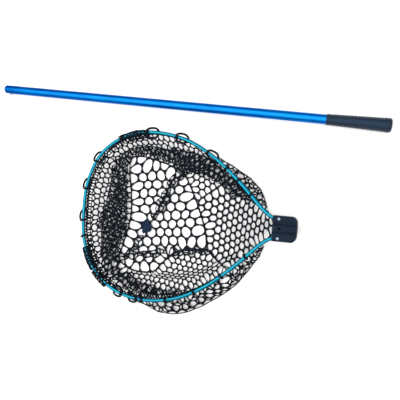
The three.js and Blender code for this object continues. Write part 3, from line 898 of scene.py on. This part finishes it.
def groundOutline(start, end):
    span = eachDegree(start, end)
    outer = fromPolar(span, byAngle(groundEdge, span), 0 * span)
    inner = fromPolar(span, byAngle(floorReach, span), 0 * span)
    return laidOut(np.vstack([outer, inner[::-1]])[:, :2])


def foldedOutline(start, end, depth=None):
    span = eachDegree(start, end)
    run = runAt(span)
    depth = byAngle(foldLength, span) if depth is None else depth + 0 * run
    return np.vstack([np.stack([run, 0 * run], 1), np.stack([run, depth], 1)[::-1]])


def wrapNet(span, pitch, profile):
    # A narrow strip of net that follows the tube with one section all along.
    line = catmull(profile, False, 12)
    depth = np.linalg.norm(np.diff(line, axis=0), axis=1).sum()
    line = evenly(line, foldSamples)

    def toPlace(flat):
        angle = angleAt(flat[:, 0])
        share = np.clip(flat[:, 1] / depth, 0, 1) * (foldSamples - 1)
        out, height = (np.interp(share, np.arange(foldSamples), part) for part in line.T)
        out = out + 0.8 * ripple(flat[:, 0], flat[:, 1], 16, 31)
        return fromPolar(angle, byAngle(rimReach, angle) + out, height)

    parts = [cellNet(foldedOutline(*span, depth), pitch, 0, toPlace, 0.22, 1.35, 1.1)]
    if len(profile) > 5:
        widest = line[line[:, 0].argmax()]
        angle = np.arange(span[0], span[1] + 0.01, 0.7)
        out = widest[0] * np.sin(pi * np.linspace(0.12, 0.88, len(angle))) ** 0.5
        edge = fromPolar(angle, byAngle(rimReach, angle) + out, widest[1] + 0 * angle)
        parts.append(strand(edge, net["edgeStrand"], 8))
    return joined(parts)


def spillEdges(start, end):
    # The bunched edge of the wall wherever it spills out past the hoop.
    angle = np.arange(start, end, 0.7)
    rows = np.round((angle % 360) / angleStep).astype(int) % len(angles)
    widest = foldTable[rows][np.arange(len(rows)), foldTable[rows][:, :, 0].argmax(1)]
    parts, run = [], []
    for k in range(len(angle) + 1):
        if k < len(angle) and widest[k, 0] > 8:
            run.append(k)
            continue
        if len(run) > 8:
            out, height = widest[run].T
            path = fromPolar(angle[run], byAngle(rimReach, angle[run]) + out - 0.4, height)
            parts.append(strand(path, net["edgeStrand"], 8))
        run = []
    return parts


def makeWall(side, start, end):
    pitch, thick = net["wallCell"], net["halfStrand"]
    spans = [(start, end)]
    if side == "yoke":
        pitch, thick = net["yokeCell"], net["yokeStrand"]
        spans = [(start, -8), (8, end)]  # between these the net stops short, under the socket
    parts = [cellNet(groundOutline(start, end), pitch, radians(90 + start * 0.1), groundPlace,
                     halfStrand=thick)]
    pitch = net["spillCell"] if side == "left" else net["wallCell"]
    parts += [cellNet(foldedOutline(*span), pitch, 0, foldedPlace) for span in spans]
    parts += [wrapNet(span, pitch, profile)
              for owner, span, pitch, profile in net["wraps"] if owner == side]
    parts += spillEdges(start, end)
    return netPiece(f"netWall{side.title()}", parts, f"bag_wall_{side}")


def crumpledStrip(points, width, seed):
    # A line of small squashed cells, where slack net has been drawn up into a crease.
    line = evenly(catmull(points), 160)
    along = np.gradient(line, axis=0)
    across = np.stack([-along[:, 1], along[:, 0]], 1) / np.linalg.norm(along, axis=1)[:, None]
    length = np.linalg.norm(np.diff(line, axis=0), axis=1).sum()

    def toPlace(flat):
        at = np.clip(flat[:, 0] / length, 0, 1) * 159
        index = np.minimum(at.astype(int), 158)
        part = (at - index)[:, None]
        centre = line[index] * (1 - part) + line[index + 1] * part
        run, aside = flat.T
        narrow = np.clip(0.75 + 0.35 * ripple(run, 0 * run, 34, seed), 0.3, 1.2)
        offset = (aside * narrow + 3.5 * ripple(run, 0 * run, 19, seed + 1))[:, None]
        lift = 3.5 * np.cos(aside / width * pi) + 1.5 * ripple(run, aside, 12, seed)
        return np.column_stack([centre + across[index] * offset, net["creaseHeight"] + np.maximum(lift, -2)])

    half = width / 2
    outline = np.array([(0, -half), (length, -half), (length, half), (0, half)])
    return cellNet(outline, net["crumpleCell"], 0, toPlace, 0.26, 1.7, 0.9)


def makeFloor():
    outline = evenly(catmull(net["floorEdge"], True), 140, True)
    parts = [cellNet(outline, net["floorCell"], radians(8), floorPlace, 0.2, 1.62, 1.35)]
    for k, (width, points) in enumerate(net["creases"][1:]):
        parts.append(crumpledStrip(points, 1.6 * width, 70 + 5 * k))
    return netPiece("netFloor", parts, "bag_floor")


walls = {side: makeWall(side, *span) for side, span in net["panels"].items()}
floorPanel = makeFloor()


print("net ready")


seam = {
    "radius": 1.5, "floorRadius": 1.7, "height": 6.2, "thinRadius": 0.8,
    # the net is bunched up along part of the seam on the left
    "bunchAt": 48, "bunchSpread": 34, "bunched": 2.5,
    "bunchLine": [(106, -80), (82, -77), (48, -80), (12, -88)],
}


def makeWallSeams():
    for side, (start, _) in net["panels"].items():
        depth = np.linspace(0, float(byAngle(foldLength, start)), 60)
        folded = foldedPlace(np.stack([0 * depth + runAt(start), depth], 1))
        reach = np.linspace(byAngle(groundEdge, start), byAngle(floorReach, start), 24)[1:]
        ground = groundPlace(laidOut(fromPolar(start + 0 * reach, reach, 0 * reach)[:, :2]))
        path = evenly(np.vstack([folded, ground]), 110)
        netPiece(f"netSeam{side.title()}", [strand(path, seam["radius"])], f"bag_seam_{side}")


floorSeams = {
    "yoke": [(-27, 131), (6, 117), (27, 86), (49, 42), (68, -4), (79, -39), (82, -70)],
    "left": [(82, -74), (15, -82), (-33, -119), (-52, -142)],
    "gather": [(4, 112), (-21, 90), (-42, 37), (-54, 16), (-66, -6)],
}


def makeFloorSeams():
    for side, points in floorSeams.items():
        path = evenly(catmull([(x, y, seam["height"]) for x, y in points]), 12 * len(points))
        path[:, 2] += 1.2 * ripple(path[:, 0], path[:, 1], 40, 21)
        thick = seam["floorRadius"] * (1 + 0.12 * np.sin(np.arange(len(path)) * 1.9))
        parts = []
        if side == "left":
            bunch = np.exp(-((path[:, 0] - seam["bunchAt"]) / seam["bunchSpread"]) ** 2)
            thick = thick + seam["bunched"] * bunch * (1 + 0.4 * ripple(path[:, 0], 0, 14, 23))
            parts = [crumpledStrip(seam["bunchLine"], 15, 96)]
        elif side == "gather":
            thick = seam["thinRadius"]
            parts = [crumpledStrip(points, 26, 90)]
        netPiece(f"floorSeam{side.title()}", [strand(path, thick)] + parts, f"floor_seam_{side}")


tie = {"halfSize": (14.5, 19.5, 5.6), "pleats": 9}


def makeTie():
    # The net's gathered end, pulled through itself: a flat knot with pleats running into it.
    low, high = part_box("bag_tie")
    deselectAll()
    bpy.ops.mesh.primitive_uv_sphere_add(segments=64, ring_count=32, radius=1)
    piece = bpy.context.object
    piece.name = "netTie"
    half = tie["halfSize"]
    for v in piece.data.vertices:
        turn = atan2(v.co.y, v.co.x)
        pleat = 1 + 0.06 * sin(tie["pleats"] * turn + 4 * v.co.z) + 0.03 * sin(17 * turn - 3 * v.co.z)
        corner = 1 + 0.08 * cos(4 * turn + 0.8)
        dent = 1 - 0.45 * np.exp(-((turn - 1.1) / 0.5) ** 2)
        puff = 0.85 + 0.3 * sin(5 * turn) * (1 - abs(v.co.z))
        v.co = mm * Vector((v.co.x * half[0] * pleat * corner,
                            v.co.y * half[1] * pleat * corner * dent, v.co.z * half[2] * puff))
    place(piece, Matrix.Translation((low + high) / 2) @ Matrix.Rotation(radians(-14), 4, "Z"))
    bpy.ops.object.shade_smooth()
    finishPiece(piece, "bunched", "bag_tie")


def hoopAxes(point):
    # The nearest place on the hoop, with its directions along and outwards.
    i = int(np.argmin(np.linalg.norm(hoopLine[:, :2] - point[:2], axis=1)))
    i = min(max(i, 1), len(hoopLine) - 2)
    along = hoopLine[i + 1] - hoopLine[i - 1]
    along = along / np.linalg.norm(along)
    outward = np.array([along[1], -along[0], 0])
    return hoopLine[i], along, outward


loop = {"radius": 2.7, "over": 9.2, "tight": 6.6, "reach": 13}


def makeLoops():
    names = sorted(n for n in frame["nodes"] if n.startswith("net_loop_"))
    for order, name in enumerate(names):
        low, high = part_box(name)
        middle = (np.array((low + high) / 2) - headOrigin) / mm
        centre, along, outward = hoopAxes(middle)
        wide = max(high.x - low.x, high.y - low.y) / mm > 20
        lean = 1.6 * sin(order * 2.3)

        def at(t, o, z):
            return centre + along * t + outward * o + np.array((0, 0, z))

        if wide:
            reach = loop["reach"] * (1 - 0.22 * (order % 3))
            points = [at(-14.5, -6, 3), at(-14, 0, loop["over"]), at(-12.8, 5, 4),
                      at(-10.6 + lean, reach - 2.2, 1.4), at(-9.6 + lean, reach - 0.4, 1),
                      at(-7.8 + lean, reach + 0.4, 0.6), at(7 + lean, reach, -0.6),
                      at(9 + lean, reach - 0.6, -0.9), at(10.2 + lean, reach - 2.6, -1.4),
                      at(13, 5, -4), at(14, 0, -loop["over"]), at(7, -10, -4.5), at(-7, -10, 0)]
        else:
            r = loop["tight"]
            points = [at(lean * cos(a), r * cos(a), r * sin(a))
                      for a in (2 * pi * k / 10 for k in range(10))]
        path = evenly(catmull(points, True), 72 if wide else 40, True)
        netPiece(f"netLoop{order + 1:02d}", [strand(path, loop["radius"], 10, True)], name)


makeWallSeams()
makeFloorSeams()
makeTie()
makeLoops()
print("seams and loops ready")


# the handle, which lies along its own joint
jointAxes = {joint["name"]: Vector(joint["axis"]).normalized() for joint in frame["joints"]}
handleAxis = -jointAxes["handle_insert"]
handleSide = -jointAxes["button_press"]
handleUp = handleAxis.cross(-handleSide).normalized()


def alongHandle(nodeName):
    # Where a node's points lie along the handle and to its sides.
    points = np.array([v.co for v in frame["nodes"][nodeName].data.vertices])
    return points @ np.array([handleAxis, -handleSide, handleUp]).T


def handleMatrix():
    spread = alongHandle("handle_tube")
    middle = (spread.min(0) + spread.max(0)) / 2
    tip = handleAxis * spread[:, 0].min() - handleSide * middle[1] + handleUp * middle[2]
    turned = Matrix((handleAxis, -handleSide, handleUp)).transposed().to_4x4()
    return Matrix.Translation(tip) @ turned


handlePlace = handleMatrix()
tubeSpread = alongHandle("handle_tube")
gripSpread = alongHandle("handle_grip")
tubeLength = (tubeSpread[:, 0].max() - tubeSpread[:, 0].min()) / mm
gripFrom = (gripSpread[:, 0].min() - tubeSpread[:, 0].min()) / mm
gripTo = (gripSpread[:, 0].max() - tubeSpread[:, 0].min()) / mm

tube = {"radius": 11, "bore": 9.8, "tipRadius": 3.4, "mouth": 6.5, "buttonAt": 17.7, "holeRadius": 3.4}


def makeTube():
    radius, tipRadius = tube["radius"], tube["tipRadius"]
    bend = [(tipRadius * (1 - cos(a)), radius - tipRadius * (1 - sin(a)))
            for a in (radians(d) for d in range(0, 91, 10))]
    profile = [(1.0, tube["mouth"]), (0.25, tube["mouth"] + 0.4)] + bend
    profile += [(tubeLength * k / 8, radius) for k in range(1, 9)]
    profile += [(tubeLength, tube["bore"]), (tipRadius, tube["bore"]),
                (1.8, tube["bore"] - 1.4), (1.0, tube["mouth"])]
    piece = turnedPiece("handleTube", profile, 72)
    deselectAll()
    bpy.ops.mesh.primitive_cylinder_add(
        vertices=40, radius=tube["holeRadius"] * mm, depth=12 * mm,
        location=(tube["buttonAt"] * mm, -tube["radius"] * mm, 0), rotation=(pi / 2, 0, 0))
    cutAway(piece)
    place(piece, handlePlace)
    smoothByAngle(piece)
    finishPiece(piece, "handle", "handle_tube", "handle")


grip = {
    "startRadius": 12.8, "endRadius": 16.5, "rings": 17, "pitch": 7, "firstRing": 11.5,
    "groove": 1.1, "bore": 11.3, "endRound": 6.5, "smoothTo": 52, "smoothFade": 20,
}


def makeGrip():
    length = gripTo - gripFrom

    def radiusAt(x):
        share = (x - gripFrom) / length
        return grip["startRadius"] + (grip["endRadius"] - grip["startRadius"]) * share

    profile = [(gripFrom, grip["bore"]), (gripFrom, radiusAt(gripFrom) - 0.9),
               (gripFrom + 0.3, radiusAt(gripFrom) - 0.3), (gripFrom + 1, radiusAt(gripFrom))]
    lastRing = gripFrom + grip["firstRing"] + grip["rings"] * grip["pitch"]
    ringShape = [(0.0, 0.35), (0.5, 0.85), (0.9, 1.0), (1.5, 0.8), (2.0, 0.3), (2.7, 0.04)]
    for k in range(grip["rings"]):
        x = gripFrom + grip["firstRing"] + k * grip["pitch"] - 1
        for dx, depth in ringShape:
            profile.append((x + dx, radiusAt(x + dx) - grip["groove"] * depth))
    end, bend = gripTo, grip["endRound"]
    profile.append((min(lastRing, end - bend - 2), grip["endRadius"] - 0.5))
    for d in range(0, 91, 10):
        a = radians(d)
        profile.append((end - bend * (1 - sin(a)), grip["endRadius"] - 0.3 - bend * (1 - cos(a))))
    profile += [(end, 5), (end - 0.8, 4.2), (end - 0.8, 0)]
    inside = tubeLength + 0.5
    profile.append((inside, 0))
    profile += [(inside, grip["bore"]), (gripFrom, grip["bore"])]
    piece = turnedPiece("handleGrip", profile, 72)
    # the rings fade out along the top and the underside, which are left smooth
    for v in piece.data.vertices:
        x, r = v.co.x / mm, sqrt(v.co.y**2 + v.co.z**2) / mm
        full = radiusAt(x)
        if grip["bore"] + 0.3 < r < full and x < lastRing:
            off = degrees(atan2(abs(v.co.y), abs(v.co.z)))
            share = min(max((grip["smoothTo"] - off) / grip["smoothFade"], 0), 1)
            scale = (r + (full - r) * share * share * (3 - 2 * share)) / r
            v.co.y *= scale
            v.co.z *= scale
    place(piece, handlePlace)
    smoothByAngle(piece, 50)
    finishPiece(piece, "grip", "handle_grip", "handle")


def makeButton():
    spread = alongHandle("snap_button")
    at = ((spread[:, 0].min() + spread[:, 0].max()) / 2 - tubeSpread[:, 0].min()) / mm
    top = 14.5
    radius = 3.0
    dome = [(top - 2.0 * (1 - sin(a)), radius * cos(a) ** 0.9)
            for a in (radians(d) for d in range(0, 90, 10))]
    profile = [(8.5, 0), (8.5, radius - 0.2), (8.7, radius)] + dome + [(top, 0)]
    piece = turnedPiece("snapButton", profile, 40)
    turn = Matrix.Translation((at * mm, 0, 0)) @ Matrix.Rotation(-pi / 2, 4, "Z")
    place(piece, handlePlace @ turn)
    smoothByAngle(piece)
    finishPiece(piece, "steel", "snap_button", "button")
    spring = roundedCopy("button_spring", "buttonSpring", 0.15, "steel", "handle")
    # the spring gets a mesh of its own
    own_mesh(spring)


def makeFloats():
    for end in ("front", "rear"):
        roundedCopy(f"float_bung_{end}", f"floatBung{end.title()}", 0.8, "foam", f"{end}_bung")


makeTube()
makeGrip()
makeButton()
makeFloats()
print("handle ready")
